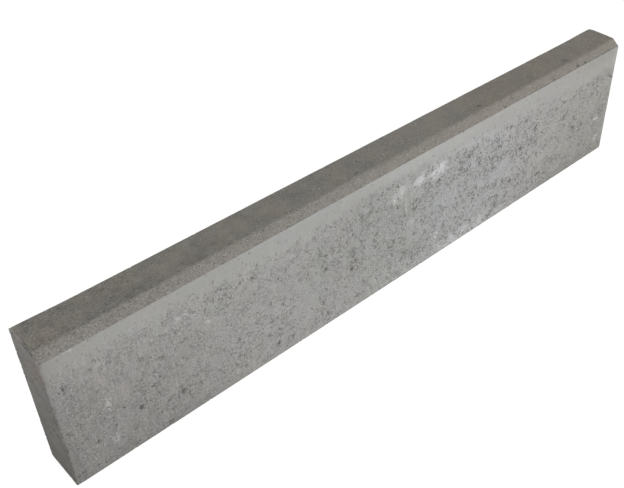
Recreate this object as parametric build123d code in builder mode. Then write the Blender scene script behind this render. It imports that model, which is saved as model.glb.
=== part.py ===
"""Concrete edging kerb: one cast block, standing on its bed face, with a chamfer along its front top edge.

Millimetres, +Z up. X runs along the kerb, the chamfered front face looks towards -Y, and the origin is at
the middle of the bed face.
"""

import os

from build123d import *

# Overall sizes of the cast block
kerb_length = 1000.0
kerb_height = 200.0
kerb_thickness = 57.0

# The chamfer takes more off the top face than off the front face
chamfer_across = 12.0
chamfer_down = 9.0

# The chamfer runs into the top face over a soft brow, and stops at the front face in a crisp foot
brow_radius = 6.0

# Worn arrises along the back and the bed, and round both ends
arris_radius = 1.5

# Places worked out from the sizes above
front_y = -kerb_thickness / 2
back_y = kerb_thickness / 2
chamfer_foot_z = kerb_height - chamfer_down
chamfer_brow_y = front_y + chamfer_across

with BuildPart() as kerb_stone:
    # Section across the kerb, run out to both ends
    with BuildSketch(Plane.YZ) as section:
        with BuildLine():
            Polyline(
                (front_y, 0),
                (front_y, chamfer_foot_z),
                (chamfer_brow_y, kerb_height),
                (back_y, kerb_height),
                (back_y, 0),
                close=True,
            )
        make_face()
        brow = section.vertices().sort_by_distance((chamfer_brow_y, kerb_height))[0]
        fillet(brow, radius=brow_radius)
    extrude(amount=kerb_length / 2, both=True)

    # Arrises: the outline of each flat end, both long edges of the bed, and the back edge of the top
    end_faces = kerb_stone.faces().filter_by(Axis.X)
    long_edges = kerb_stone.edges().filter_by(Axis.X)
    bed_edges = long_edges.group_by(Axis.Z)[0]
    back_top_edge = long_edges.group_by(Axis.Y)[-1].sort_by(Axis.Z)[-1]
    fillet(end_faces.edges() + bed_edges + [back_top_edge], radius=arris_radius)

kerb_stone.part.label = "kerb_stone"

os.makedirs("parts", exist_ok=True)
export_step(kerb_stone.part, "parts/kerb_stone.step")
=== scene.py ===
"""Concrete kerb stone: one cast block with the open, drag-marked face of dry pressed concrete.

The block is meshed from its section, its casting marks are cut into the mesh by Geometry Nodes, and the same
formulas colour it in the material. Formulas work in millimetres, the meshes and the stage in metres.
"""

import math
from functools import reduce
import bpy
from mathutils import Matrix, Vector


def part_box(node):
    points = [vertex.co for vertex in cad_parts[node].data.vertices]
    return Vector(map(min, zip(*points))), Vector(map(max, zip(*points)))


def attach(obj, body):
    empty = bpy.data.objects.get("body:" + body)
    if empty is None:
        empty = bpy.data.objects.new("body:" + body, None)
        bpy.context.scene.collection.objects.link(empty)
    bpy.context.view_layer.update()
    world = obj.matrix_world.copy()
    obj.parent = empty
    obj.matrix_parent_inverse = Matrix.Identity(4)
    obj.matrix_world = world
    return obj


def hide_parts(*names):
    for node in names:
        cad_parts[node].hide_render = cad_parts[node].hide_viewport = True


bl_info = {
    "name": "Concrete kerb stone",
    "version": (1, 0, 0),
    "blender": (4, 5, 0),
    "location": "3D View > Sidebar > Kerb",
    "description": "Makes a pressed concrete kerb stone with its casting marks, and a plain stage for it",
    "category": "Object",
}

from types import SimpleNamespace

import bpy
import numpy as np
from bpy.props import FloatProperty, FloatVectorProperty, IntProperty, PointerProperty
from bpy.types import Operator, Panel, PropertyGroup
from mathutils import Matrix, Vector

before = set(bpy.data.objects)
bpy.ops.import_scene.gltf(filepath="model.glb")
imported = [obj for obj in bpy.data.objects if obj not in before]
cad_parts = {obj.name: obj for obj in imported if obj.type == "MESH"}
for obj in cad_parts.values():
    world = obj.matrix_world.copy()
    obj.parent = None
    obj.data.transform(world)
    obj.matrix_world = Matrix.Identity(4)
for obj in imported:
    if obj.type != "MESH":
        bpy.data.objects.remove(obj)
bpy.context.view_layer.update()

STONE = "kerb_stone"
MM = 0.001
WHITE = (1, 1, 1, 1)

low, high = (np.array(corner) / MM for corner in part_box(STONE))
HALF_LENGTH = float(high[0] - low[0]) / 2
HALF_THICKNESS = float(high[1] - low[1]) / 2
HEIGHT = float(high[2] - low[2])
FRONT = -HALF_THICKNESS


def shade(red, green, blue):
    """A colour picked on screen, from 0 to 255, as the linear values that Blender keeps."""
    linear = []
    for value in (red, green, blue):
        part = value / 255
        linear.append(part / 12.92 if part <= 0.04045 else ((part + 0.055) / 1.055) ** 2.4)
    return tuple(linear)


def length(name, text, default, most=1.0):
    """A length property, in metres."""
    return FloatProperty(
        name=name, description=text, default=default, min=0, max=most, precision=5, unit="LENGTH"
    )


def amount(name, text, default):
    """A plain number that is never negative."""
    return FloatProperty(name=name, description=text, default=default, min=0)


def tint(name, text, colour):
    """A colour property."""
    return FloatVectorProperty(
        name=name, description=text, default=colour, min=0, max=1, size=3, subtype="COLOR"
    )


class BlockSizes(PropertyGroup):
    """Sizes of the block's section and of its mesh."""

    chamfer_across: length("Chamfer across", "How much of the top face the chamfer takes", 0.012)
    chamfer_down: length("Chamfer down", "How much of the front face the chamfer takes", 0.009)
    brow_radius: length("Brow radius", "Soft meeting of the chamfer and the top face", 0.006)
    foot_radius: length("Foot radius", "Crisp meeting of the chamfer and the front face", 0.0006)
    arris_radius: length("Arris radius", "Worn edges of the block", 0.001)
    worn_radius: length("Worn radius", "Softer front edge of the end that is nearest in the photo", 0.0036)
    mesh_step: length("Mesh step", "Spacing of the mesh before it is thinned", 0.0013)
    edge_step: length("Edge step", "Closer spacing of the mesh beside the edges", 0.0005)
    most_triangles: IntProperty(
        name="Most triangles", description="Triangles that the thinned mesh keeps", default=192000, min=1000
    )


class CastMarks(PropertyGroup):
    """How deep the marks of casting go into the block."""

    band_depth: length("Smooth band", "Depth of the closed, smooth band below the chamfer", 0.017)
    void_depth: length("Voids", "Depth of the voids between the grains", 0.0011)
    blow_hole_depth: length("Blow holes", "Depth of the larger holes", 0.0018)
    lump_height: length("Lumps", "Height of the gentle lumps in the faces", 0.0004)
    grain_height: length("Grain", "Height of the sand grains", 0.0004)
    drag_depth: length("Drag marks", "Depth of the upright marks that the mould left", 0.00025)
    press_line_depth: length("Press line", "Depth of the joint line at the chamfer's foot", 0.0005)
    chip_depth: length("Chips", "Depth of the chips along the arrises", 0.0006)
    skin_height: length("Skin", "How far the cement skin between the marks stands out", 0.0003)


class ConcreteColours(PropertyGroup):
    """Colours of the concrete."""

    band: tint("Smooth band", "Closed cement skin below the chamfer", shade(165, 164, 161))
    face: tint("Open face", "Cement of the open faces", shade(173, 170, 169))
    green: tint("Greener face", "Greenish part of the front face", shade(169, 170, 167))
    cool: tint("Cooler face", "Bluer part of the front face", shade(168, 171, 174))
    warm: tint("Warmer face", "Brownish part of the front face", shade(172, 170, 164))
    # Inside voids and blow holes: partly dirt, partly painted shade in the hollows
    void: tint("Voids", "Inside of voids and blow holes", shade(80, 78, 75))
    # Pale sand grains; also the colour of the painted highlights on lips, ridges and edges
    fleck: tint("Flecks", "Pale grains of sand", shade(205, 204, 200))
    # Also the colour of a painted highlight line under the chamfer's foot
    lime_and_highlight: tint("Lime bloom", "White lime that has come out of the concrete", shade(224, 225, 224))
    # Damp concrete, also used as painted shade low in the front's corners and towards the foot of the ends
    damp_and_shade: tint("Damp", "Darker, damp concrete", shade(124, 121, 116))
    # The top's colours are darker than the sides, partly their own colour and partly painted shade of the top
    top: tint("Top", "Pressed top face", shade(138, 135, 129))
    top_moss: tint("Top, greenish", "Greenish parts of the top face", shade(130, 131, 120))
    top_brown: tint("Top, brown", "Brown parts of the top face", shade(131, 124, 115))
    chamfer: tint("Chamfer", "Sandy chamfer", shade(141, 137, 132))
    chamfer_brown: tint("Chamfer, brown", "Brown parts of the chamfer", shade(141, 136, 128))
    rust: tint("Brown stain", "Brown, rough parts of the end", shade(166, 140, 128))
    end: tint("Ends", "End faces", shade(155, 152, 148))
    bed: tint("Bed", "Underside", shade(148, 145, 138))


class StageSettings(PropertyGroup):
    """Camera and light."""

    lens: FloatProperty(name="Lens", description="Focal length in millimetres", default=50.284, min=1)
    camera_height: length("Camera height", "Height of the camera above the floor", 0.81604, 5)
    sky: amount("Sky", "Strength of the even light from all round", 0.42)
    key: amount("Key light", "Watts of the large soft lamp in front", 52)
    fill: amount("Fill light", "Watts of the soft lamp behind", 16)


class Field:
    """A socket that takes part in arithmetic: an expression on fields adds its Math nodes."""

    def __init__(self, nodes, socket):
        self.nodes = nodes
        self.socket = socket

    def math(self, operation, first, second=0.0):
        return self.nodes.add("ShaderNodeMath", {"operation": operation}, {0: first, 1: second})

    def __add__(self, other):
        return self.math("ADD", self, other)

    def __radd__(self, other):
        return self.math("ADD", other, self)

    def __sub__(self, other):
        return self.math("SUBTRACT", self, other)

    def __rsub__(self, other):
        return self.math("SUBTRACT", other, self)

    def __mul__(self, other):
        return self.math("MULTIPLY", self, other)

    def __rmul__(self, other):
        return self.math("MULTIPLY", other, self)

    def __truediv__(self, other):
        return self.math("DIVIDE", self, other)

    def __abs__(self):
        return self.math("ABSOLUTE", self)

    def sign(self):
        return self.math("SIGN", self)

    def __lt__(self, other):
        return self.math("LESS_THAN", self, other)

    def least(self, other):
        return self.math("MINIMUM", self, other)

    def most(self, other):
        return self.math("MAXIMUM", self, other)


class Nodes:
    """Adds nodes to one tree, of a material or of Geometry Nodes."""

    def __init__(self, tree):
        self.tree = tree

    @classmethod
    def cleared(cls, owner):
        """The nodes of a material or a world, with its tree emptied first."""
        owner.use_nodes = True
        owner.node_tree.nodes.clear()
        return cls(owner.node_tree)

    def add(self, kind, settings=None, inputs=None, output=0):
        """One node, with its settings and the values or links of its sockets. Gives one output as a field."""
        node = self.tree.nodes.new(kind)
        for name, value in (settings or {}).items():
            setattr(node, name, value)
        for key, value in (inputs or {}).items():
            if isinstance(value, Field):
                self.tree.links.new(value.socket, node.inputs[key])
            else:
                node.inputs[key].default_value = value
        return Field(self, node.outputs[output])

    def step(self, value, start, end):
        """A soft step: 0 where the value is at start, 1 where it is at end."""
        inputs = {"Value": value, "From Min": start, "From Max": end}
        return self.add("ShaderNodeMapRange", {"interpolation_type": "SMOOTHSTEP"}, inputs)

    def line(self, value, inner, outer):
        """A soft line: 1 where the value is within inner of nought, and 0 from outer on."""
        return 1 - self.step(abs(value), inner, outer)

    def vector(self, operation, first, second):
        return self.add("ShaderNodeVectorMath", {"operation": operation}, {0: first, 1: second})

    def distance(self, first, second):
        return self.add("ShaderNodeVectorMath", {"operation": "DISTANCE"}, {0: first, 1: second}, "Value")

    def split(self, vector):
        node = self.add("ShaderNodeSeparateXYZ", inputs={0: vector}).socket.node
        return [Field(self, socket) for socket in node.outputs]

    def join(self, x, y, z):
        return self.add("ShaderNodeCombineXYZ", inputs={0: x, 1: y, 2: z})

    def noise(self, place, size, detail=2.0, rough=0.5, stretch=(1, 1, 1), seed=0.0, output=0):
        """Smooth noise from 0 to 1 with features of about this size in millimetres. Output 1 is a vector."""
        scaled = self.vector("MULTIPLY", place, tuple(1 / (size * part) for part in stretch))
        moved = self.vector("ADD", scaled, (seed, seed * 0.7, seed * 1.3))
        inputs = {"Vector": moved, "Scale": 1.0, "Detail": detail, "Roughness": rough}
        return self.add("ShaderNodeTexNoise", {"noise_dimensions": "3D"}, inputs, output)

    def ripple(self, place, size, detail, rough, **more):
        """Noise about nought, from -0.5 to 0.5."""
        return self.noise(place, size, detail, rough, **more) - 0.5

    def ripples(self, place, size, detail, rough, seed):
        """Three such noises as one vector."""
        noise = self.noise(place, size, detail, rough, seed=seed, output=1)
        return self.vector("SUBTRACT", noise, (0.5, 0.5, 0.5))

    def shifted(self, place, ripples, reach):
        """A vector moved by ripples, by its own share along each axis."""
        return self.vector("ADD", place, self.vector("MULTIPLY", ripples, reach))

    def blend(self, first, second, factor):
        """One colour laid over another by a factor from 0 to 1. Each is a field or a colour property."""
        first, second = (part if isinstance(part, Field) else (*part, 1.0) for part in (first, second))
        settings = {"data_type": "RGBA", "clamp_factor": True}
        return self.add("ShaderNodeMix", settings, {0: factor, 6: first, 7: second}, 2)

    def seen_by(self, *rays):
        """1 for rays of these kinds, named as the Light Path node names them, and 0 for the others."""
        path = self.tree.nodes.new("ShaderNodeLightPath")
        return reduce(Field.most, [Field(self, path.outputs[ray]) for ray in rays])

    def put_out(self, kind, surface):
        """Links a finished surface to the tree's output node."""
        output = self.tree.nodes.new(kind)
        self.tree.links.new(surface.socket, output.inputs["Surface"])


# Larger holes that the photo shows in the front face: distance from the near end, height, and radius
BLOW_HOLES = (
    (15, 145, 4.5),
    (56, 158, 2.2),
    (8, 80, 4.5),
    (37, 45, 3.2),
    (74, 71, 2.6),
    (93, 56, 4.0),
    (104, 124, 2.8),
    (112, 76, 3.8),
    (128, 112, 3.6),
    (124, 6, 5.0),
    (79, 7, 3.2),
    (148, 40, 3.6),
    (190, 81, 3.0),
    (204, 29, 2.8),
    (230, 66, 3.4),
    (258, 148, 3.0),
    (240, 151, 2.6),
    (257, 59, 2.2),
    (290, 43, 3.4),
    (289, 20, 4.0),
    (312, 18, 3.8),
    (300, 80, 3.4),
    (364, 43, 3.2),
    (372, 117, 3.2),
    (370, 95, 4.0),
    (372, 18, 4.6),
    (416, 69, 3.6),
    (423, 80, 3.0),
    (432, 106, 2.6),
    (494, 72, 3.6),
    (500, 125, 3.0),
    (533, 107, 4.0),
    (545, 31, 3.6),
    (581, 132, 2.8),
    (627, 130, 5.0),
    (642, 142, 5.0),
    (667, 120, 3.8),
    (708, 140, 3.6),
    (735, 152, 4.0),
    (747, 51, 3.4),
    (766, 101, 5.0),
    (771, 147, 3.0),
    (798, 122, 5.0),
    (765, 12, 4.2),
    (818, 30, 4.0),
    (872, 112, 4.8),
    (902, 81, 4.0),
    (928, 77, 3.8),
    (930, 148, 3.6),
    (955, 152, 3.4),
    (992, 140, 3.6),
)

# Rougher, more open parts of the front face: distance from the near end, height, half width, half height
OPEN_PATCHES = (
    (12, 90, 22, 70),
    (105, 65, 26, 34),
    (150, 35, 40, 26),
    (215, 135, 20, 34),
    (235, 45, 34, 30),
    (295, 40, 30, 32),
    (375, 118, 20, 40),
    (368, 24, 22, 20),
    (418, 80, 26, 22),
    (450, 130, 36, 18),
    (495, 70, 20, 26),
    (545, 108, 30, 14),
    (540, 38, 34, 20),
    (636, 134, 24, 24),
    (690, 110, 40, 18),
    (775, 110, 36, 26),
    (735, 35, 50, 22),
    (850, 36, 34, 18),
    (905, 76, 30, 20),
    (935, 145, 34, 14),
)

# Calmer, closed parts of the front face, in the same order
CALM_PATCHES = (
    (84, 46, 20, 16),
    (70, 98, 14, 14),
    (196, 112, 14, 12),
    (340, 66, 16, 26),
    (400, 30, 26, 10),
    (528, 82, 20, 16),
    (596, 96, 26, 16),
    (530, 132, 24, 8),
    (726, 84, 24, 24),
    (846, 104, 20, 16),
    (830, 56, 24, 10),
    (950, 108, 24, 14),
    (880, 56, 16, 14),
    (990, 178, 20, 16),
    (520, 150, 34, 8),
    (585, 146, 12, 10),
)

# Lime bloom on the front face, and one painted highlight line under the chamfer's foot: distance from the
# near end, height, half width, half height, strength
LIME_AND_HIGHLIGHT_PATCHES = (
    (577, 150, 21, 16, 1.0),
    (543, 150, 17, 12, 0.75),
    (507, 148, 9, 11, 0.8),
    (495, 142, 7, 9, 0.7),
    (528, 88, 9, 6, 0.3),
    (580, 36, 5, 9, 1.0),
    (640, 13, 80, 14, 0.35),
    (516, 118, 2.0, 26, 0.35),
    (970, 71, 8, 4.5, 1.1),
    (978, 29, 6, 7, 0.9),
    # A painted highlight along the arris under the chamfer's foot
    (30, 189.4, 7, 1.2, 0.45),
    (56, 95, 3.0, 80, 0.12),
    (36, 86, 3.5, 3.5, 0.7),
    (165, 151, 4, 3.5, 0.7),
    (155, 151, 3.5, 3, 0.5),
    (56, 92, 6, 10, 0.4),
    (56, 152, 6, 7, 0.35),
    (56, 34, 6, 9, 0.38),
    (192, 124, 5, 8, 0.4),
    (620, 92, 2, 8, 0.3),
)

# Dark marks along the chamfer's foot: distance from the near end, height, half width, half height, strength
FOOT_MARKS = (
    (892, 193, 4, 1.6, 0.9),
    (911, 192.3, 4, 1.6, 0.8),
    (973, 192, 3.5, 1.4, 0.6),
    (832, 192, 3.5, 1.5, 0.6),
    (716, 192, 4, 1.2, 0.4),
    (520, 192, 3, 1.2, 0.35),
    (404, 192, 2.5, 1.2, 0.4),
)

# Dark marks in the top face: distance from the near end and from the back, half width, half depth, strength
TOP_MARKS = (
    (98, 11, 4, 3, 0.3),
    (109, 24, 7, 4, 0.22),
    (231, 30, 5, 3, 0.3),
    (442, 39, 4, 2.5, 0.6),
    (681, 37, 5, 3.5, 0.55),
    (758, 13, 9, 5, 0.2),
    (800, 31, 8, 4, 0.16),
    (880, 38, 8, 6, 0.35),
)

# Dark marks in the near end: distance from the back, height, half width, half height, strength
END_MARKS = (
    (45, 181, 2.6, 2.2, 0.7),
    (38, 158, 3, 2.2, 0.75),
    (42, 169, 2.6, 2, 0.5),
    (27, 130, 3, 2.2, 0.65),
    (24, 122, 2.6, 2, 0.55),
    (40, 113, 3, 2, 0.5),
    (49, 117, 3, 2, 0.4),
    (41, 80, 4, 2.6, 0.7),
    (29, 63, 3, 2, 0.4),
    (47, 76, 4.5, 3, 0.7),
    (36, 93, 2.6, 2, 0.4),
    (8, 174, 4, 8, 0.12),
)

# Brown, rough parts of the near end, in the same order
BROWN_PATCHES = (
    (48, 172, 9, 16, 0.3),
    (36, 160, 8, 10, 0.3),
    (40, 185, 10, 6, 0.25),
    (46, 84, 10, 10, 0.15),
)

# Broad changes of tone on the front face, some of them painted shade and painted highlight, in the same order
# as its lime, with the share that each adds
TONE_AND_LIGHT_PATCHES = (
    # Painted highlight along the top of the band at the near end
    (40, 186, 130, 26, 0.09),
    (120, 156, 190, 26, 0.07),
    (150, 100, 100, 60, 0.05),
    (250, 45, 60, 45, 0.08),
    (150, 60, 50, 40, 0.03),
    (650, 130, 150, 20, 0.03),
    (400, 186, 90, 12, -0.02),
    (640, 165, 60, 8, 0.04),
    (750, 188, 60, 12, 0.04),
    (420, 110, 110, 75, -0.07),
    (560, 186, 140, 18, 0.07),
    (660, 145, 90, 40, 0.09),
    (63, 140, 4, 44, 0.025),
    # Painted shade down the near edge, in these four patches
    (4, 45, 12, 60, -0.17),
    (2, 100, 10, 40, -0.05),
    (5, 178, 15, 20, -0.08),
    (9, 140, 9, 34, -0.03),
    (988, 85, 26, 56, -0.06),
    (690, 60, 170, 60, 0.09),
    (660, 160, 60, 12, 0.05),
    (920, 100, 150, 80, 0.015),
    # Painted highlight on the far edge
    (996, 175, 9, 22, 0.12),
    (80, 5, 150, 12, -0.12),
    (610, 8, 130, 14, 0.15),
    (910, 6, 120, 13, -0.14),
    (965, 188, 70, 16, -0.1),
    (665, 8, 75, 16, 0.16),
    (540, 16, 70, 18, 0.07),
    (930, 110, 80, 60, -0.02),
    (480, 182, 60, 14, -0.03),
    (750, 182, 60, 14, 0.02),
    (880, 182, 60, 14, -0.03),
    (465, 168, 90, 9, -0.03),
    (650, 167, 60, 10, -0.055),
)

# Darker lower corners of the front face, partly damp and partly painted shade: distance from the near end,
# height, reach, full reach, share
DAMP_AND_SHADE_CORNERS = (
    (-20.0, -30.0, 460, 40, 0.56),
    (1010.0, -20.0, 320, 30, 0.38),
)

# Broad changes of tone on the top, in the same order as its marks
TOP_TONES = (
    (75, 12, 34, 14, -0.05),
    (20, 30, 50, 18, -0.05),
    (230, 12, 90, 14, 0.055),
    (190, 35, 110, 8, -0.035),
    (375, 34, 50, 12, 0.035),
    (650, 14, 130, 22, 0.04),
    (870, 34, 40, 12, 0.03),
    (940, 12, 90, 14, 0.04),
)

# Each soft patch is at full strength to the first share of its half size, and gone at the second
FULL, FADED = 0.3, 1.3


def blots(nodes, place, patches):
    """The strongest of a list of soft oval patches at a place: x, z, half width, half height and strength."""
    found = []
    for x, z, half_width, half_height, *strength in patches:
        centred = nodes.vector("SUBTRACT", place, (x, 0.0, z))
        scaled = nodes.vector("DIVIDE", centred, (half_width, 1.0, half_height))
        blot = nodes.step(nodes.distance(scaled, (0.0, 0.0, 0.0)), FADED, FULL)
        found.append(blot * strength[0] if strength else blot)
    return reduce(Field.most, found)


def tones(nodes, place, patches):
    """The sum of a list of such patches at a place."""
    return sum(blots(nodes, place, (patch,)) for patch in patches)


def faces_of(nodes, place, sizes):
    """The faces and edges at a place in millimetres: masks from 0 to 1, and distances inwards."""
    x, y, z = nodes.split(place)
    across, down = sizes.chamfer_across / MM, sizes.chamfer_down / MM
    slope = math.hypot(across, down)
    at = SimpleNamespace(x=x, y=y, z=z, near=x + HALF_LENGTH)
    at.from_end = HALF_LENGTH - abs(x)
    at.from_side = HALF_THICKNESS - abs(y)
    at.from_top = HEIGHT - z
    at.from_level = z.least(at.from_top)
    at.past_brow = y - (FRONT + across)
    at.from_chamfer = at.past_brow * (down / slope) + at.from_top * (across / slope)
    at.below_top = at.from_top.least(at.from_chamfer)
    at.foot_z = HEIGHT - down
    above_foot = nodes.step(z, at.foot_z - 0.3, at.foot_z + 0.5)
    before_brow = 1 - nodes.step(at.past_brow, -1.0, 1.0)
    at.chamfer = above_foot * before_brow
    at.on_side = 1 - nodes.step(at.from_side, 2.5, 4.5)
    at.on_end = 1 - nodes.step(at.from_end, 1.2, 2.4)
    at.front = 1 - nodes.step(y, FRONT + 3.2, FRONT + 4.2)
    end, side, level = at.from_end, at.from_side, at.from_level
    edges = (end.most(side), end.most(level), side.most(level), end.most(at.from_chamfer))
    at.edge = reduce(Field.least, edges)
    return at


def settled(nodes, at):
    """The place with its depth below the nearest face taken out: a hole then looks the same at any depth."""
    reach = 3.5
    end, side, level = at.from_end, at.from_side, at.from_level
    flat = 1 - at.chamfer
    on_side = (side < level) * (side < end) * (side < reach) * flat
    on_level = (1 - on_side) * (level < end) * (level < reach) * flat
    on_end = (1 - on_side) * (1 - on_level) * (end < reach)
    return nodes.join(
        at.x + at.x.sign() * end * on_end,
        at.y + at.y.sign() * side * on_side,
        at.z + (at.z - HEIGHT / 2).sign() * level * on_level,
    )


def add_openness(nodes, at, sizes, marks):
    """How open the concrete is: closed in the band under the chamfer, open below, finer on top and ends."""
    near, z, wander = at.near, at.z, at.wander
    tatter = nodes.ripple(at.face, 7, 3, 0.65, stretch=(1, 1, 2.2), seed=5.2)
    band_foot = HEIGHT - sizes.chamfer_down / MM - marks.band_depth / MM - nodes.step(near, 800, 900) * 8
    at.band_foot = band_foot - nodes.step(abs(near - 700), 170, 60) * 4
    below_band = at.band_foot - z + wander * 26 + tatter * 34
    below_band = below_band / (1 + nodes.step(near, 520, 660) * 0.6)
    closed_strip = nodes.step(z + wander * 16 + tatter * 12, 2, 9) * 0.4 + 0.6
    at.beside_end = nodes.step(at.from_end + tatter * 8, 12, 4) * at.front
    at.open_side = nodes.step(below_band, -6, 16) * closed_strip * (1 - 0.6 * at.beside_end)
    elsewhere = 0.1 + 0.1 * nodes.step(wander, -0.1, 0.15)
    at.openness = at.open_side * at.on_side + elsewhere * (1 - at.on_side)


def add_voids(nodes, at):
    """Larger holes at listed places, voids between the grains, and worm-like grooves."""
    face, near, grain, warped = at.face, at.near, at.grain, at.warped
    ragged_spot = nodes.shifted(at.spot, at.warp, (9, 0, 9))
    reaches = [nodes.distance(ragged_spot, (x, 0.0, z)) / radius for x, z, radius in BLOW_HOLES]
    nearest = reduce(Field.least, reaches)
    cluster = nodes.step(nearest, 1.5, 0.4) * at.front * (0.4 + 0.6 * at.open_side)
    pits = nodes.step(nearest + grain * 6, 0.36, 0.05).most(nodes.step(nearest + grain, 0.36, 0.16))
    at.blow_holes = pits * cluster

    # Where the marks crowd together
    crowd = nodes.step(nodes.noise(face, 14, 3, 0.6, seed=8.4), 0.38, 0.6)
    patchy = blots(nodes, ragged_spot, OPEN_PATCHES) * 0.22 - blots(nodes, ragged_spot, CALM_PATCHES) * 0.42
    patchy = patchy + (nodes.step(near, 330, 560) - nodes.step(near, 780, 960) * 0.5) * 0.16
    patchy = patchy - nodes.step(near + at.wander * 80, 170, 80) * 0.1
    crowd = (crowd * 0.6 + 0.2 + patchy * at.front).most(0.0).least(1.0)

    # Each void is ragged and apart from the next, with a raised lip round it, which the material paints pale
    # as a highlight
    def ragged(size, low, spread, seed):
        value = nodes.noise(warped, size, 2, 0.6, seed=seed)
        return value - low - (1 - crowd * at.openness) * spread + cluster * 0.075

    coarse, small = ragged(3.8, 0.57, 0.13, 4.0), ragged(2.3, 0.565, 0.13, 9.0)
    coarse = coarse.most(ragged(5.4, 0.59, 0.13, 17.0) - nodes.step(near, 600, 350) * 0.1)
    small = small + nodes.step(near, 260, 60) * 0.02 - nodes.step(near, 700, 920) * 0.025
    at.voids = nodes.step(coarse, 0.0, 0.03)
    at.small_voids = nodes.step(small, 0.0, 0.03)
    at.lips = nodes.step(coarse, -0.075, -0.015).most(nodes.step(small, -0.06, -0.01)) * at.openness
    lane = nodes.ripple(warped, 5.0, 2, 0.5, seed=14.0)
    broken = nodes.step(nodes.noise(face, 3.0, 1, seed=15.0), 0.5, 0.57)
    broken = broken * at.openness * (0.25 + crowd * 0.75)
    at.worms = nodes.line(lane, 0.008, 0.035) * broken
    # Ridges beside the worms: raised in the relief, and painted pale as a highlight in the material
    at.ridges = nodes.line(lane - 0.055, 0.01, 0.035) * broken


def add_lines(nodes, at):
    """Upright drag marks of the mould, the joint line of the press, and the chips along the arrises."""
    face, near, wander = at.face, at.near, at.wander
    combed = 0.35 + 0.8 * nodes.step(near + wander * 120, 260, 70)
    drag = nodes.ripple(at.warped, 1.8, 3, 0.65, stretch=(1, 1, 16), seed=6.1)
    at.drag = drag * at.on_side * combed * nodes.step(at.band_foot + 2 - at.z + wander * 20, -6, 8)

    # The joint line follows the chamfer's foot and goes round the top of the ends. It is cut in as a groove,
    # and the material paints it dark, partly dirt and partly painted shade in the groove
    at.line_break = nodes.step(nodes.noise(face, 8, 3, 0.65, seed=3.9), 0.38, 0.6)
    along_front = nodes.line(at.z - at.foot_z - 0.4, 0.2, 1.0) * at.front
    along_front = along_front * (0.2 + 0.3 * nodes.step(near, 40, 260) + 0.45 * nodes.step(near, 700, 900))
    around_end = nodes.line(at.below_top - 0.7, 0.4, 1.3)
    around_end = around_end * at.on_end * (0.9 - nodes.step(at.y, -8, 24) * 0.4)
    at.press_line = along_front.most(around_end) * (0.35 + at.line_break * 0.65)

    at.near_edge = 1 - nodes.step(at.edge, 0.4, 3.0)
    chips = at.near_edge * nodes.step(nodes.noise(face, 9, 4, 0.65, seed=11.3), 0.56, 0.72)
    at.chips = chips * (1 - 0.7 * at.beside_end)


def casting_marks(nodes, place, sizes, marks):
    """The marks of casting at a place in millimetres, each a field, for the mesh and the material alike."""
    at = faces_of(nodes, place, sizes)
    at.face = settled(nodes, at)
    at.spot = nodes.join(at.near, 0.0, at.z)
    at.wander = nodes.ripple(at.face, 60, 3, 0.6, seed=1.7)
    at.lumps = nodes.ripple(at.face, 46, 2, 0.5, seed=7.7)
    at.grain = nodes.ripple(at.face, 2.2, 4, 0.72, seed=0.9)
    at.warp = nodes.ripples(at.face, 4.5, 2, 0.6, seed=2.3)
    at.warped = nodes.shifted(at.face, at.warp, (5, 5, 5))
    add_openness(nodes, at, sizes, marks)
    add_voids(nodes, at)
    add_lines(nodes, at)
    return at


def relief_tree(sizes, marks):
    """Geometry Nodes that push the casting marks into the block's mesh."""
    tree = bpy.data.node_groups.new("casting marks", "GeometryNodeTree")
    tree.interface.new_socket("Block", in_out="INPUT", socket_type="NodeSocketGeometry")
    for name in type(marks).__annotations__:
        if name != "band_depth":
            socket = tree.interface.new_socket(name, in_out="INPUT", socket_type="NodeSocketFloat")
            socket.default_value = getattr(marks, name)
    tree.interface.new_socket("Concrete", in_out="INPUT", socket_type="NodeSocketMaterial")
    tree.interface.new_socket("Stone", in_out="OUTPUT", socket_type="NodeSocketGeometry")
    nodes = Nodes(tree)
    group_input = tree.nodes.new("NodeGroupInput")
    given = {socket.name: Field(nodes, socket) for socket in group_input.outputs}
    place = nodes.vector("MULTIPLY", nodes.add("GeometryNodeInputPosition"), (1 / MM,) * 3)
    at = casting_marks(nodes, place, sizes, marks)
    inwards = (
        at.voids.most(at.small_voids * 0.5).most(at.worms * 0.6) * given["void_depth"]
        + at.blow_holes * given["blow_hole_depth"]
        + at.lumps * given["lump_height"]
        + at.grain * (0.35 + at.openness) * given["grain_height"] * 2
        + at.drag * given["drag_depth"] * 2
        + at.press_line * given["press_line_depth"]
        + at.chips * given["chip_depth"]
        - given["skin_height"]
    )
    on_bed = 1 - nodes.step(at.z, 0.5, 2.0)
    inwards = inwards * (1 - on_bed) + inwards.most(0.0) * on_bed
    scale = nodes.vector("MULTIPLY", nodes.join(inwards, inwards, inwards), (-1, -1, -1))
    push = nodes.vector("MULTIPLY", nodes.add("GeometryNodeInputNormal"), scale)
    moved = nodes.add("GeometryNodeSetPosition", inputs={"Geometry": given["Block"], "Offset": push})
    real = nodes.add("GeometryNodeRealizeInstances", inputs={"Geometry": moved})
    finished = nodes.add("GeometryNodeSetMaterial", inputs={"Geometry": real, "Material": given["Concrete"]})
    group_output = tree.nodes.new("NodeGroupOutput")
    tree.links.new(finished.socket, group_output.inputs[0])
    return tree


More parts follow.
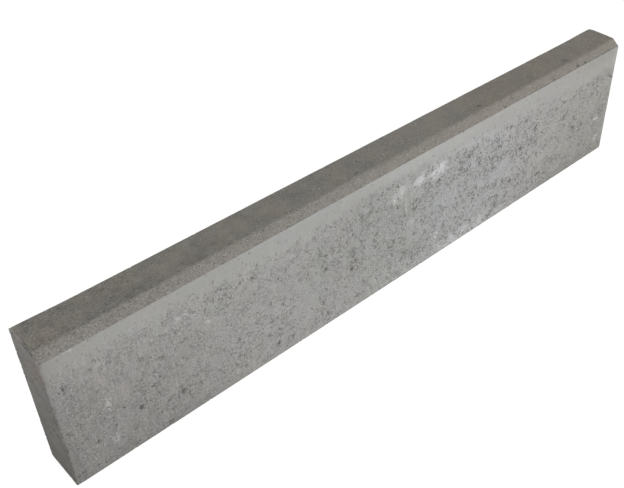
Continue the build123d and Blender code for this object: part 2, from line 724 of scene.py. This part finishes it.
def side_colour(nodes, at, colours):
    """Cement of the sides, from the closed band to the open face, with its tinted parts and its darker lower
    corners, partly damp and partly painted shade.
    """
    near, z, wander, front = at.near, at.z, at.wander, at.front
    colour = nodes.blend(colours.band, colours.face, at.openness)
    low_green = nodes.step(near, 230, 520) * 140
    green = nodes.step(z + wander * 60 + low_green, 50, 160)
    green = green * nodes.step(abs(near - 340 + wander * 100), 330, 190)
    green = green * front * (0.6 + 0.4 * nodes.step(near, 380, 540))
    colour = nodes.blend(colour, colours.green, green)
    cool = nodes.step(abs(near - 650 + wander * 60), 140, 50)
    colour = nodes.blend(colour, colours.cool, cool * at.openness * front * 0.5)
    warm = nodes.step(near + wander * 100, 760, 960)
    colour = nodes.blend(colour, colours.warm, warm * front * 0.8)
    # Lower corners darker: partly damp, partly painted shade
    for x, height, reach, full, share in DAMP_AND_SHADE_CORNERS:
        damp_and_shade = nodes.step(nodes.distance(at.spot, (x, 0.0, height)), reach, full)
        colour = nodes.blend(colour, colours.damp_and_shade, damp_and_shade * share * front)
    return colour


def all_faces(nodes, at, colours):
    """Colour of the sides, the bed, the top, the chamfer and the ends, before its tone and its marks."""
    near, cloud, farther = at.near, at.cloud, at.farther
    bed = 1 - nodes.step(at.z, 1.0, 2.5)
    colour = nodes.blend(side_colour(nodes, at, colours), colours.bed, bed)
    brown = nodes.step(cloud, -0.1, 0.2) * (0.8 - 0.2 * farther)
    brown = brown + nodes.step(near + cloud * 200, 560, 760) * 0.6
    top_colour = nodes.blend(colours.top, colours.top_brown, brown)
    mossy = nodes.step(at.patch + nodes.step(at.from_back, 14, 2) * 0.14, 0.44, 0.72)
    mossy = mossy * (0.25 + 0.35 * nodes.step(near, 20, 160) - 0.35 * farther)
    top_colour = nodes.blend(top_colour, colours.top_moss, mossy)
    sandy = nodes.step(at.past_brow + (at.grain + at.wander) * 5, -0.2, -4.2)
    sand_colour = nodes.blend(colours.chamfer, colours.chamfer_brown, nodes.step(near, 100, 900))
    top_colour = nodes.blend(top_colour, sand_colour, sandy)
    colour = nodes.blend(colour, top_colour, at.on_top.most(at.chamfer))
    # The ends darken towards their foot: painted shade, in the damp colour
    end_foot_shade = nodes.step(at.z + at.wander * 60, 190, 0)
    end_colour = nodes.blend(colours.end, colours.damp_and_shade, end_foot_shade * 0.75)
    return nodes.blend(colour, end_colour, at.on_end)


def toned(nodes, at, colour):
    """The colour made lighter and darker by clouds, grain, drag marks and patches, some of them painted shade
    and painted highlight, and slightly tinted.
    """
    near, cloud, farther, openness = at.near, at.cloud, at.farther, at.openness
    level, chamfer, end, sand, from_back = at.level, at.chamfer, at.on_end, at.sand, at.from_back
    tone = (
        1
        + cloud * (0.1 + 0.1 * openness + (0.6 + 0.6 * nodes.step(near, 420, 120)) * level + 0.5 * end)
        + (at.patch - 0.5) * (0.1 + (0.6 - 0.4 * farther) * level + 0.2 * chamfer + 0.3 * end)
        + at.grain * ((0.25 + 0.2 * openness) * (0.7 + 0.3 * farther) + 1.3 * sand)
        + at.fine * ((0.25 + 0.15 * openness) * (0.6 + 0.4 * farther) + 0.9 * sand)
        - nodes.line(at.past_brow - 1, 2, 5) * 0.03 * (1 - end)
        + at.drag * 0.9
        + (nodes.step(near, 0, 1000) * 0.1 - 0.07 + tones(nodes, at.top_spot, TOP_TONES)) * level
        + nodes.step(near + cloud * 30, 10, 6) * nodes.step(from_back, 26, 8) * 0.16 * level
        # Front tone patches, some of them painted shade and painted highlight
        + tones(nodes, at.spot, TONE_AND_LIGHT_PATCHES) * nodes.step(at.y, FRONT + 2.2, FRONT + 0.8) * (1 - chamfer)
        # The ends lighter near the top and darker lower down: painted light and shade
        + (nodes.step(at.z, 168, 195) * 0.14 - nodes.step(at.z, 150, 110) * 0.03) * end
        + nodes.step(at.y, FRONT + 6, FRONT + 2) * nodes.step(at.z, 80, 40) * end * 0.07
    )
    hue = nodes.ripples(at.face, 28, 4, 0.65, seed=51.0)
    tinted = nodes.shifted(nodes.join(tone, tone, tone), hue, (0.09, 0.0, 0.15))
    return nodes.vector("MULTIPLY", colour, tinted)


def marked(nodes, at, colours, colour):
    """The colour with its pale grains, its edges pale partly from wear and partly as painted highlight,
    painted highlights on lips and ridges, and lime with one painted highlight line, and then its dark voids,
    lines and spots, with painted shade in the voids and along the lines.
    """
    near, farther, front = at.near, at.farther, at.front
    fleck = nodes.step(nodes.noise(at.face, 2.4, 2, 0.7, seed=33.0), 0.6, 0.67)
    # Flecks are pale sand grains; the pale lips and ridges are painted highlights
    lip_highlight_share = 0.36 + 0.12 * nodes.step(near, 460, 220)
    pale = (fleck * (0.06 + 0.34 * at.openness + 0.16 * at.sand)).most(at.lips * lip_highlight_share)
    pale = pale.most(at.ridges * 0.36) * (1.1 + 0.5 * farther)
    colour = nodes.blend(colour, colours.fleck, pale)
    # Edges paler, partly from wear and partly as painted highlight along the arrises
    worn_and_highlit_edge = at.near_edge * nodes.step(at.patch, 0.4, 0.6)
    colour = nodes.blend(colour, colours.fleck, worn_and_highlit_edge * (0.12 - 0.12 * at.on_top.most(at.on_end)))
    blotchy = nodes.ripple(at.face, 5, 3, 0.7, seed=37.0)
    # Lime bloom, with one painted highlight line under the chamfer's foot
    lime_and_highlight = blots(nodes, nodes.shifted(at.spot, at.smear, (15, 0, 15)), LIME_AND_HIGHLIGHT_PATCHES)
    lime_and_highlight = nodes.step(lime_and_highlight + blotchy * 1.2, -0.1, 1.15) * nodes.step(lime_and_highlight, 0.0, 0.2) * (1 - at.chamfer)
    lime_and_highlight = lime_and_highlight * (0.6 + nodes.step(at.grain, -0.15, 0.15) * 0.4)
    colour = nodes.blend(colour, colours.lime_and_highlight, lime_and_highlight * front * 0.8)

    # Voids darker towards the near lower corner: partly damp, partly painted shade
    damp_and_shade_corner = nodes.step(near, 330, 60) * nodes.step(at.z, 150, 60)
    # Voids, worms and blow holes darkened partly as dirt and partly as painted shade in the hollows
    dark = (at.voids * 0.48).most(at.small_voids * 0.42).most(at.worms * 0.27)
    dark = dark * (0.95 + 0.15 * farther + 0.2 * damp_and_shade_corner)
    # The press line is dark partly from dirt and partly as painted shade in its groove
    dark = dark.most(at.blow_holes * 0.6).most(at.press_line * 0.55)
    dark = dark.most(blots(nodes, at.spot, FOOT_MARKS) * front)
    dark = dark.most(blots(nodes, nodes.shifted(at.top_spot, at.smear, (8, 0, 8)), TOP_MARKS) * at.level)
    end_spot = nodes.shifted(nodes.join(at.from_back, 0.0, at.z), at.smear, (3, 0, 3))
    near_end = at.on_end * (1 - nodes.step(near, 2.0, 4.0))
    dark = dark.most(blots(nodes, end_spot, END_MARKS) * near_end)
    # Dark line along the near end's top front edge: painted shade of the edge
    edge_shade_line = nodes.step(at.below_top + at.from_end, 2.2, 1.0) * nodes.step(abs(at.y + 9), 15, 8)
    dark = dark.most(edge_shade_line * nodes.step(near, 6, 3) * (0.35 + at.line_break * 0.35))
    colour = nodes.blend(colour, colours.rust, blots(nodes, end_spot, BROWN_PATCHES) * near_end)
    return nodes.blend(colour, colours.void, dark)


def concrete_material(sizes, marks, colours):
    """Concrete: cement skin, open face, voids, flecks, lime and damp, with painted shade in hollows, along
    edges and low in corners, painted highlights on lips, ridges and edges, and a different tone on each face,
    the top's darker partly as painted shade.
    """
    material = bpy.data.materials.new("pressed_concrete")
    nodes = Nodes.cleared(material)
    coordinates = nodes.add("ShaderNodeTexCoord", output="Object")
    place = nodes.vector("MULTIPLY", coordinates, (1 / MM,) * 3)
    at = casting_marks(nodes, place, sizes, marks)
    at.cloud = nodes.ripple(at.face, 34, 4, 0.6, seed=21.0)
    at.patch = nodes.noise(at.face, 13, 3, 0.6, seed=23.0)
    at.fine = nodes.ripple(at.face, 1.1, 2, 0.7, seed=31.0)
    at.smear = nodes.ripples(at.face, 8, 3, 0.7, seed=35.0)
    at.farther = nodes.step(at.near, 60, 560)
    at.from_back = HALF_THICKNESS - at.y
    at.top_spot = nodes.join(at.near, 0.0, at.from_back)
    at.on_top = 1 - nodes.step(at.from_top + at.grain * 2, 0.7, 1.7)
    at.level = at.on_top * (1 - at.chamfer)

    # Bare sand: in clumps on the top, and all over the chamfer and the ends
    clump = nodes.step(nodes.noise(at.face, 20, 3, 0.6, seed=41.0), 0.47, 0.62)
    clump = clump.most(nodes.step(at.near, 230, 60) * 0.8).most(nodes.step(at.past_brow, 9, 1) * 0.5)
    sand = (at.level * (0.3 + 0.9 * clump)).most(at.chamfer * (1.15 - 0.4 * at.farther))
    at.sand = sand.most(at.on_end * 0.75)

    colour = marked(nodes, at, colours, toned(nodes, at, all_faces(nodes, at, colours)))
    height = (
        at.grain * 0.5 * (0.5 + at.openness)
        + at.fine * 0.3 * (0.5 + at.openness)
        - at.small_voids * 0.6
        - at.worms * 0.5
        - at.voids * 0.7
        - at.blow_holes * 0.6
        - at.press_line * 0.4
        + at.lips.most(at.ridges) * 0.25
        + at.drag * 0.6
    )
    bump = nodes.add("ShaderNodeBump", inputs={"Strength": 1.0, "Distance": MM, "Height": height})
    roughness = 0.84 + 0.1 * at.openness
    inputs = {"Base Color": colour, "Roughness": roughness, "Specular IOR Level": 0.3, "Normal": bump}
    nodes.put_out("ShaderNodeOutputMaterial", nodes.add("ShaderNodeBsdfPrincipled", inputs=inputs))
    return material


def section_corners(sizes):
    """Corners of the sharp section as (y, z) in millimetres: bed, chamfer foot, brow, back top, back bed."""
    across, down = sizes.chamfer_across / MM, sizes.chamfer_down / MM
    front = ((FRONT, 0), (FRONT, HEIGHT - down), (FRONT + across, HEIGHT))
    back = ((HALF_THICKNESS, HEIGHT), (HALF_THICKNESS, 0))
    return np.array(front + back)


# Wear of single edges in millimetres: its reach from an end or a face, and each edge's gain or loss of radius
WEAR_REACH = 7
NEAR_FOOT_WEAR = 2.0
NEAR_TOP_CRISPNESS = 0.4
FRONT_BED_CRISPNESS = 0.7
FAR_CORNER_WEAR = 1.6


def wear_radius(points, sizes):
    """How far each point's nearest edge is rounded, in millimetres: wear differs from edge to edge."""
    x, y, z = points.T
    _, foot, brow, back_top, _ = section_corners(sizes)

    def beside(distance, reach):
        return np.exp(-((distance / reach) ** 2))

    radius = np.full(len(points), sizes.arris_radius / MM)
    near = beside(x + HALF_LENGTH, WEAR_REACH)
    far = beside(x - HALF_LENGTH, WEAR_REACH)
    between = (1 - near) * (1 - far)
    at_front = beside(y - FRONT, WEAR_REACH)
    at_top = beside(z - HEIGHT, WEAR_REACH)
    radius += near * at_front * (1 - beside(z, 16)) * (sizes.worn_radius - sizes.arris_radius) / MM
    radius += near * at_front * beside(z - foot[1], 14) * NEAR_FOOT_WEAR
    radius -= near * at_top * (1 - at_front) * NEAR_TOP_CRISPNESS
    radius -= between * at_front * beside(z, WEAR_REACH) * FRONT_BED_CRISPNESS
    radius += far * at_top * beside(y - back_top[0], 9) * FAR_CORNER_WEAR
    at_brow = beside(np.hypot(y - brow[0], z - brow[1]), 5) * between
    radius = radius * (1 - at_brow) + sizes.brow_radius / MM * at_brow
    at_foot = beside(np.hypot(y - foot[0], z - foot[1]), 4) * between
    return radius * (1 - at_foot) + sizes.foot_radius / MM * at_foot


def worn(points, sizes):
    """Points of the sharp block, each moved to where a ball of its own radius would round the edges off."""
    radius = wear_radius(points, sizes)[:, None]
    corners = section_corners(sizes)
    along = np.roll(corners, -1, 0) - corners
    along /= np.linalg.norm(along, axis=1)[:, None]
    outwards = np.column_stack([-along[:, 1], along[:, 0]])
    meeting = np.roll(outwards, 1, 0) + outwards
    mitre = 2 * meeting / (meeting**2).sum(1)[:, None]
    place = points[:, 1:]
    nearest = place.copy()
    least = np.full(len(points), np.inf)
    inside = np.ones(len(points), bool)
    for i in range(len(corners)):
        j = (i + 1) % len(corners)
        start = corners[i] - radius * mitre[i]
        side = corners[j] - radius * mitre[j] - start
        share = ((place - start) * side).sum(1) / (side**2).sum(1)
        foot = start + np.clip(share, 0, 1)[:, None] * side
        distance = np.linalg.norm(place - foot, axis=1)
        closer = distance < least
        nearest[closer] = foot[closer]
        least[closer] = distance[closer]
        inside &= ((place - start) * outwards[i]).sum(1) <= 0
    nearest[inside] = place[inside]
    reach = HALF_LENGTH - radius
    centre = np.hstack([np.clip(points[:, :1], -reach, reach), nearest])
    away = points - centre
    return centre + radius * away / np.linalg.norm(away, axis=1)[:, None]


# How far the block is out of true, in millimetres: its front foot bows out, fading over a height, and its
# upper back corners stand proud, fading over a length
BOW, BOW_HEIGHT = 0.55, 40
PROUD, PROUD_LENGTH = 1.6, 45


def bowed(points):
    """The block a little out of true: its front foot bows out, and its upper back corners stand proud."""
    x, y, z = points.T
    along = 1 - (x / HALF_LENGTH) ** 2
    bow = BOW * along * np.exp(-((z / BOW_HEIGHT) ** 2)) * (y < 0)
    proud = PROUD * np.exp(-(((abs(x) - HALF_LENGTH) / PROUD_LENGTH) ** 2))
    proud = proud * (z / HEIGHT) ** 8 * (0.5 + y / HALF_THICKNESS / 2)
    return points + np.column_stack([0 * x, bow * y / HALF_THICKNESS, proud])


def spaced(span, sizes, margin=4.0):
    """Distances from 0 to the span in millimetres, closer together beside both ends."""
    fine = np.arange(0, margin, sizes.edge_step / MM)
    steps = round((span - 2 * margin) / (sizes.mesh_step / MM))
    return np.concatenate([fine, np.linspace(margin, span - margin, steps + 1), span - fine[::-1]])


def section_ring(sizes):
    """Points round the section as (y, z), and how many steps its front and its top take."""
    bed, foot, brow, back_top, back_bed = section_corners(sizes)

    def side(start, end, distances):
        share = (distances / distances[-1])[:, None]
        return start * (1 - share) + end * share

    up = spaced(HEIGHT, sizes)
    chamfer = side(foot, brow, spaced(np.linalg.norm(brow - foot), sizes))
    top = np.vstack([chamfer, side(brow, back_top, spaced(back_top[0] - brow[0], sizes))[1:]])
    under = spaced(2 * HALF_THICKNESS, sizes)
    under = np.interp(np.linspace(0, 1, len(top)), np.linspace(0, 1, len(under)), under)
    sides = (side(bed, foot, up), top, side(back_top, back_bed, up), side(back_bed, bed, under))
    return np.vstack([part[:-1] for part in sides]), len(up) - 1, len(top) - 1


def rim_numbers(rows, columns):
    """A grid over one end, with the numbers of the ring's points along its four sides."""
    grid = np.zeros((rows + 1, columns + 1), int)
    grid[:, 0] = np.arange(rows + 1)
    grid[rows, :] = rows + np.arange(columns + 1)
    grid[:, columns] = rows + columns + np.arange(rows + 1)[::-1]
    grid[0, :] = (2 * rows + columns + np.arange(columns + 1)[::-1]) % (2 * rows + 2 * columns)
    return grid


def stretched(ring, rim):
    """Points inside one end as (y, z), stretched between the four sides of its rim."""
    left, right, lower, upper = ring[rim[:, 0]], ring[rim[:, -1]], ring[rim[0]], ring[rim[-1]]
    u = ((lower[:, 0] - lower[0, 0]) / (lower[-1, 0] - lower[0, 0]))[None, 1:-1, None]
    v = ((left[:, 1] - left[0, 1]) / (left[-1, 1] - left[0, 1]))[1:-1, None, None]
    inner = (
        (1 - u) * left[1:-1, None]
        + u * right[1:-1, None]
        + (1 - v) * lower[None, 1:-1]
        + v * upper[None, 1:-1]
        - (1 - u) * (1 - v) * left[0]
        - u * (1 - v) * right[0]
        - (1 - u) * v * left[-1]
        - u * v * right[-1]
    )
    return inner.reshape(-1, 2)


def quad_mesh(name, points, quads):
    """A smooth mesh of four-sided faces, from points in metres."""
    mesh = bpy.data.meshes.new(name)
    mesh.vertices.add(len(points))
    mesh.vertices.foreach_set("co", points.astype(np.float32).ravel())
    mesh.loops.add(quads.size)
    mesh.loops.foreach_set("vertex_index", quads.astype(np.int32).ravel())
    mesh.polygons.add(len(quads))
    mesh.polygons.foreach_set("loop_start", np.arange(0, quads.size, 4, dtype=np.int32))
    mesh.update(calc_edges=True)
    mesh.polygons.foreach_set("use_smooth", np.ones(len(quads), bool))
    mesh.validate()
    return mesh


def block_mesh(sizes):
    """The block as a closed mesh: the section run along the kerb and capped, then worn along its edges."""
    ring, rows, columns = section_ring(sizes)
    count = len(ring)
    station_x = spaced(2 * HALF_LENGTH, sizes) - HALF_LENGTH
    stations = len(station_x)
    points = [np.column_stack([np.repeat(station_x, count), np.tile(ring, (stations, 1))])]
    here = np.arange(stations - 1)[:, None] * count + np.arange(count)
    after = np.arange(stations - 1)[:, None] * count + (np.arange(count) + 1) % count
    quads = [np.stack([here, here + count, after + count, after], -1).reshape(-1, 4)]

    rim = rim_numbers(rows, columns)
    inner = stretched(ring, rim)
    total = stations * count
    for station, flip in ((0, False), (stations - 1, True)):
        grid = rim + station * count
        grid[1:-1, 1:-1] = total + np.arange(len(inner)).reshape(rows - 1, columns - 1)
        total += len(inner)
        points.append(np.column_stack([np.full(len(inner), station_x[station]), inner]))
        cap = np.stack([grid[:-1, :-1], grid[1:, :-1], grid[1:, 1:], grid[:-1, 1:]], -1).reshape(-1, 4)
        quads.append(cap[:, ::-1] if flip else cap)
    return quad_mesh("kerb_block", bowed(worn(np.vstack(points), sizes)) * MM, np.vstack(quads))


def placed(name, data):
    """A new object in the scene."""
    made = bpy.data.objects.new(name, data)
    bpy.context.scene.collection.objects.link(made)
    return made


def plain_mesh(made, name):
    """The evaluated object's mesh as an object of its own."""
    evaluated = made.evaluated_get(bpy.context.evaluated_depsgraph_get())
    mesh = bpy.data.meshes.new_from_object(evaluated)
    mesh.name = name
    bpy.data.objects.remove(made)
    return placed(name, mesh)


class KERB_OT_cast_stone(Operator):
    """Makes the kerb stone: its block, its casting marks and its concrete"""

    bl_idname = "kerb.cast_stone"
    bl_label = "Cast the stone"

    def execute(self, context):
        scene = context.scene
        sizes, marks, colours = scene.kerb_sizes, scene.kerb_marks, scene.kerb_colours
        block = placed("block", block_mesh(sizes))
        material = concrete_material(sizes, marks, colours)
        relief = block.modifiers.new("casting marks", "NODES")
        tree = relief_tree(sizes, marks)
        relief.node_group = tree
        relief[tree.interface.items_tree["Concrete"].identifier] = material
        thin = block.modifiers.new("thin", "DECIMATE")
        thin.ratio = sizes.most_triangles / (2 * len(block.data.polygons))
        stone = plain_mesh(block, "kerb_stone_cast")
        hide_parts(STONE)
        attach(stone, "root")
        return {"FINISHED"}


# The floor is a mix of matt grey, which takes the shadow, and white light for what the camera sees itself
FLOOR_GREY = (0.7, 0.7, 0.7, 1)
FLOOR_GLOW = 1.26
FLOOR_WHITE_SHARE = 0.74


def floor_material():
    """Pale floor that the camera sees as white wherever the stone throws no shadow."""
    material = bpy.data.materials.new("floor")
    nodes = Nodes.cleared(material)
    seen = nodes.seen_by("Is Camera Ray", "Is Glossy Ray", "Is Transmission Ray")
    matt = nodes.add("ShaderNodeBsdfDiffuse", inputs={"Color": FLOOR_GREY})
    white = nodes.add("ShaderNodeEmission", inputs={"Color": WHITE, "Strength": FLOOR_GLOW})
    mixed = nodes.add("ShaderNodeMixShader", inputs={0: seen * FLOOR_WHITE_SHARE, 1: matt, 2: white})
    nodes.put_out("ShaderNodeOutputMaterial", mixed)
    return material


def soft_lamp(name, place, target, size, watts):
    """A large square lamp that looks at a point, with places and size in metres."""
    lamp = bpy.data.lights.new(name, "AREA")
    lamp.size = size
    lamp.energy = watts
    direction = Vector(target) - Vector(place)
    turn = direction.to_track_quat("-Z", "Y").to_matrix().to_4x4()
    placed(name, lamp).matrix_world = Matrix.Translation(place) @ turn


# The photo's camera, found from the kerb's corners: place in metres from the middle of the bed, aim, roll and
# shift. The picture was cropped off its lens axis, which the shift keeps. The sensor is in millimetres.
CAMERA_PLACE = (-0.67454, -0.67128)
CAMERA_AIM = (0.54367, 0.57481, -0.61156)
CAMERA_ROLL = math.radians(-0.255)
PICTURE_SHIFT = (-0.07909, -0.02997)
SENSOR_WIDTH = 36

# Places in metres and sizes of the lamps and the floor, which lies just under the bed
KEY_PLACE, KEY_SIZE = (0.5, -2.8, 1.05), 1.6
FILL_PLACE, FILL_SIZE = (-0.6, 2.6, 1.4), 1.8
LAMP_TARGET = (0, 0, 0.1)
FLOOR_REACH = 40.0
FLOOR_HEIGHT = -0.0002


def photo_camera(stage):
    """The camera that took the photo."""
    camera = bpy.data.cameras.new("camera")
    camera.sensor_width = SENSOR_WIDTH
    camera.lens = stage.lens
    camera.shift_x, camera.shift_y = PICTURE_SHIFT
    holder = placed("camera", camera)
    turn = Vector(CAMERA_AIM).to_track_quat("-Z", "Y").to_matrix().to_4x4()
    place = Matrix.Translation((*CAMERA_PLACE, stage.camera_height))
    holder.matrix_world = place @ turn @ Matrix.Rotation(CAMERA_ROLL, 4, "Z")
    return holder


def wide_floor():
    """A floor that reaches past every view."""
    mesh = bpy.data.meshes.new("floor")
    signs = ((-1, -1), (1, -1), (1, 1), (-1, 1))
    corners = [(x * FLOOR_REACH, y * FLOOR_REACH, FLOOR_HEIGHT) for x, y in signs]
    mesh.from_pydata(corners, [], [(0, 1, 2, 3)])
    mesh.materials.append(floor_material())
    return placed("floor", mesh)


def even_sky(stage):
    """Even light from all round, which the camera sees as plain white."""
    world = bpy.data.worlds.new("studio")
    nodes = Nodes.cleared(world)
    seen = nodes.seen_by("Is Camera Ray", "Is Glossy Ray")
    strength = stage.sky + seen * (1 - stage.sky)
    sky = nodes.add("ShaderNodeBackground", inputs={"Color": WHITE, "Strength": strength})
    nodes.put_out("ShaderNodeOutputWorld", sky)
    return world


class KERB_OT_set_stage(Operator):
    """Makes the floor, the soft light and the camera"""

    bl_idname = "kerb.set_stage"
    bl_label = "Set the stage"

    def execute(self, context):
        scene = context.scene
        stage = scene.kerb_stage
        scene.camera = photo_camera(stage)
        floor = wide_floor()
        soft_lamp("key", KEY_PLACE, LAMP_TARGET, KEY_SIZE, stage.key)
        soft_lamp("fill", FILL_PLACE, LAMP_TARGET, FILL_SIZE, stage.fill)
        scene.world = even_sky(stage)
        scene.view_settings.view_transform = "Standard"
        return {"FINISHED"}


class KERB_PT_panel(Panel):
    """Lists the kerb's operators, sizes and colours"""

    bl_label = "Kerb stone"
    bl_space_type = "VIEW_3D"
    bl_region_type = "UI"
    bl_category = "Kerb"

    def draw(self, context):
        layout = self.layout
        scene = context.scene
        for operator in (KERB_OT_cast_stone, KERB_OT_set_stage):
            layout.operator(operator.bl_idname)
        for settings in (scene.kerb_sizes, scene.kerb_marks, scene.kerb_colours, scene.kerb_stage):
            box = layout.box()
            for name in type(settings).__annotations__:
                box.prop(settings, name)


SETTINGS = {
    "kerb_sizes": BlockSizes,
    "kerb_marks": CastMarks,
    "kerb_colours": ConcreteColours,
    "kerb_stage": StageSettings,
}
CLASSES = (*SETTINGS.values(), KERB_OT_cast_stone, KERB_OT_set_stage, KERB_PT_panel)


def register():
    for item in CLASSES:
        bpy.utils.register_class(item)
    for name, group in SETTINGS.items():
        setattr(bpy.types.Scene, name, PointerProperty(type=group))


def unregister():
    for name in SETTINGS:
        delattr(bpy.types.Scene, name)
    for item in reversed(CLASSES):
        bpy.utils.unregister_class(item)


def main():
    register()
    bpy.ops.kerb.set_stage()
    bpy.ops.kerb.cast_stone()


if __name__ == "__main__":
    main()
